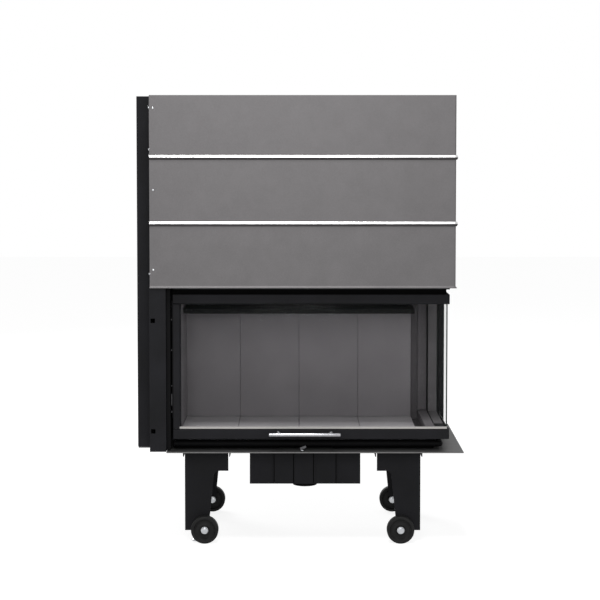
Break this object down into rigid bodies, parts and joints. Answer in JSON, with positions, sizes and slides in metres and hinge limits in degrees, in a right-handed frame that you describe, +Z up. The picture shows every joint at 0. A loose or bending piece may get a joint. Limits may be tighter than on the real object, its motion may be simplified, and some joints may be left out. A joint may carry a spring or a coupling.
{
  "type": "fireplace insert",
  "caption": "Corner fireplace insert with an L-shaped lift door, counterweights, lined firebox, flue collar and a wheeled under-frame.",
  "frame": {"origin": "bottom centre of the bounding box, on the floor under the wheels and feet", "axes": "+Z up, +Y from the front towards the back, +X to the right seen from the front"},
  "size_m": [1.061, 0.576, 1.462],
  "materials": {
    "grey_sheet": "satin aluminised grey sheet",
    "black_enamel": "matt black heat-proof paint",
    "fired_steel": "matt black primed steel",
    "base_steel": "bare rolled steel",
    "refractory": "cast grey refractory concrete",
    "pale_sheet": "matt grey coated sheet",
    "cast_iron": "rough cast",
    "ceramic_glass": "clear glass ceramic, ground edges",
    "stainless": "brushed stainless steel",
    "zinc_steel": "zinc plated",
    "steel_cable": "stranded steel wire rope",
    "wheel_black": "moulded black nylon"
  },
  "bodies": {
    "root": {"hood": "grey_sheet", "left_front_panel": "black_enamel", "left_casing": "black_enamel", "right_casing": "black_enamel", "rear_shield": "black_enamel", "air_box": "black_enamel", "left_leg": "black_enamel", "right_leg": "black_enamel", "top_frame": "fired_steel", "plinth": "fired_steel", "lower_frame_rail": "fired_steel", "firebox_shell": "fired_steel", "left_pulley_bracket": "fired_steel", "right_pulley_bracket": "fired_steel", "air_spigot": "fired_steel", "left_guide_rail": "fired_steel", "right_guide_rail": "fired_steel", "base_plate": "base_steel", "back_tile_1": "refractory", "back_tile_2": "refractory", "back_tile_3": "refractory", "back_tile_4": "refractory", "floor_tile": "refractory", "left_tile": "refractory", "right_ledge": "refractory", "rear_right_tile": "refractory", "baffle": "refractory", "smoke_dome": "cast_iron", "flue_collar": "cast_iron", "left_door_cable": "steel_cable", "left_weight_cable": "steel_cable", "right_door_cable": "steel_cable", "right_weight_cable": "steel_cable"},
    "door": {"door_bottom_rail": "black_enamel", "door_top_rail": "black_enamel", "door_left_stile": "black_enamel", "door_rear_stile": "black_enamel", "front_glass": "ceramic_glass", "side_glass": "ceramic_glass", "side_glass_retainer": "pale_sheet", "handle": "stainless", "left_carriage": "fired_steel", "right_carriage": "fired_steel"},
    "left_lower_roller": {"left_lower_roller": "zinc_steel"},
    "left_upper_roller": {"left_upper_roller": "zinc_steel"},
    "right_lower_roller": {"right_lower_roller": "zinc_steel"},
    "right_upper_roller": {"right_upper_roller": "zinc_steel"},
    "left_weight": {"left_weight": "cast_iron"},
    "right_weight": {"right_weight": "cast_iron"},
    "left_pulley": {"left_pulley": "zinc_steel"},
    "right_pulley": {"right_pulley": "zinc_steel"},
    "left_front_wheel": {"left_front_wheel": "wheel_black"},
    "left_rear_wheel": {"left_rear_wheel": "wheel_black"},
    "right_front_wheel": {"right_front_wheel": "wheel_black"},
    "right_rear_wheel": {"right_rear_wheel": "wheel_black"},
    "left_front_foot": {"left_front_foot": "zinc_steel"},
    "left_rear_foot": {"left_rear_foot": "zinc_steel"},
    "right_front_foot": {"right_front_foot": "zinc_steel"},
    "right_rear_foot": {"right_rear_foot": "zinc_steel"},
    "air_lever": {"air_lever": "zinc_steel"}
  },
  "joints": [
    {"name": "door_lift", "type": "slide", "parent": "root", "child": "door", "axis": [0, 0, 1], "range_m": [0, 0.45], "deforming": ["left_door_cable", "right_door_cable"]},
    {"name": "left_weight_drop", "type": "slide", "parent": "root", "child": "left_weight", "axis": [0, 0, 1], "range_m": [-0.45, 0], "deforming": ["left_weight_cable"]},
    {"name": "right_weight_drop", "type": "slide", "parent": "root", "child": "right_weight", "axis": [0, 0, 1], "range_m": [-0.45, 0], "deforming": ["right_weight_cable"]},
    {"name": "left_pulley_turn", "type": "hinge", "parent": "root", "child": "left_pulley", "pos_m": [-0.4525, -0.152, 1.37], "axis": [1, 0, 0], "range_deg": [-573, 0]},
    {"name": "right_pulley_turn", "type": "hinge", "parent": "root", "child": "right_pulley", "pos_m": [0.4655, 0.183, 1.37], "axis": [1, 0, 0], "range_deg": [-573, 0]},
    {"name": "left_lower_roller_turn", "type": "hinge", "parent": "door", "child": "left_lower_roller", "pos_m": [-0.4228, -0.233, 0.44], "axis": [1, 0, 0], "range_deg": [-2031, 0]},
    {"name": "left_upper_roller_turn", "type": "hinge", "parent": "door", "child": "left_upper_roller", "pos_m": [-0.4228, -0.233, 0.78], "axis": [1, 0, 0], "range_deg": [-2031, 0]},
    {"name": "right_lower_roller_turn", "type": "hinge", "parent": "door", "child": "right_lower_roller", "pos_m": [0.493, 0.145, 0.44], "axis": [1, 0, 0], "range_deg": [-2031, 0]},
    {"name": "right_upper_roller_turn", "type": "hinge", "parent": "door", "child": "right_upper_roller", "pos_m": [0.493, 0.145, 0.78], "axis": [1, 0, 0], "range_deg": [-2031, 0]},
    {"name": "left_front_wheel_roll", "type": "hinge", "parent": "root", "child": "left_front_wheel", "pos_m": [-0.3105, -0.202, 0.045], "axis": [0, 1, 0], "continuous": true},
    {"name": "left_front_foot_screw", "type": "slide", "parent": "root", "child": "left_front_foot", "axis": [0, 0, -1], "range_m": [0, 0.025]},
    {"name": "left_rear_wheel_roll", "type": "hinge", "parent": "root", "child": "left_rear_wheel", "pos_m": [-0.3105, 0.267, 0.045], "axis": [0, 1, 0], "continuous": true},
    {"name": "left_rear_foot_screw", "type": "slide", "parent": "root", "child": "left_rear_foot", "axis": [0, 0, -1], "range_m": [0, 0.025]},
    {"name": "right_front_wheel_roll", "type": "hinge", "parent": "root", "child": "right_front_wheel", "pos_m": [0.3315, -0.202, 0.045], "axis": [0, 1, 0], "continuous": true},
    {"name": "right_front_foot_screw", "type": "slide", "parent": "root", "child": "right_front_foot", "axis": [0, 0, -1], "range_m": [0, 0.03]},
    {"name": "right_rear_wheel_roll", "type": "hinge", "parent": "root", "child": "right_rear_wheel", "pos_m": [0.3315, 0.267, 0.045], "axis": [0, 1, 0], "continuous": true},
    {"name": "right_rear_foot_screw", "type": "slide", "parent": "root", "child": "right_rear_foot", "axis": [0, 0, -1], "range_m": [0, 0.03]},
    {"name": "air_lever_turn", "type": "hinge", "parent": "root", "child": "air_lever", "pos_m": [0.0185, -0.072, 0.3175], "axis": [0, 0, 1], "range_deg": [-24, 24]}
  ],
  "couplings": [
    {"joint": "left_weight_drop", "follows": "door_lift", "ratio": -1},
    {"joint": "right_weight_drop", "follows": "door_lift", "ratio": -1},
    {"joint": "left_pulley_turn", "follows": "door_lift", "rad_per_m": -22.222},
    {"joint": "right_pulley_turn", "follows": "door_lift", "rad_per_m": -22.222},
    {"joint": "left_lower_roller_turn", "follows": "door_lift", "rad_per_m": -78.74},
    {"joint": "left_upper_roller_turn", "follows": "door_lift", "rad_per_m": -78.74},
    {"joint": "right_lower_roller_turn", "follows": "door_lift", "rad_per_m": -78.74},
    {"joint": "right_upper_roller_turn", "follows": "door_lift", "rad_per_m": -78.74}
  ]
}
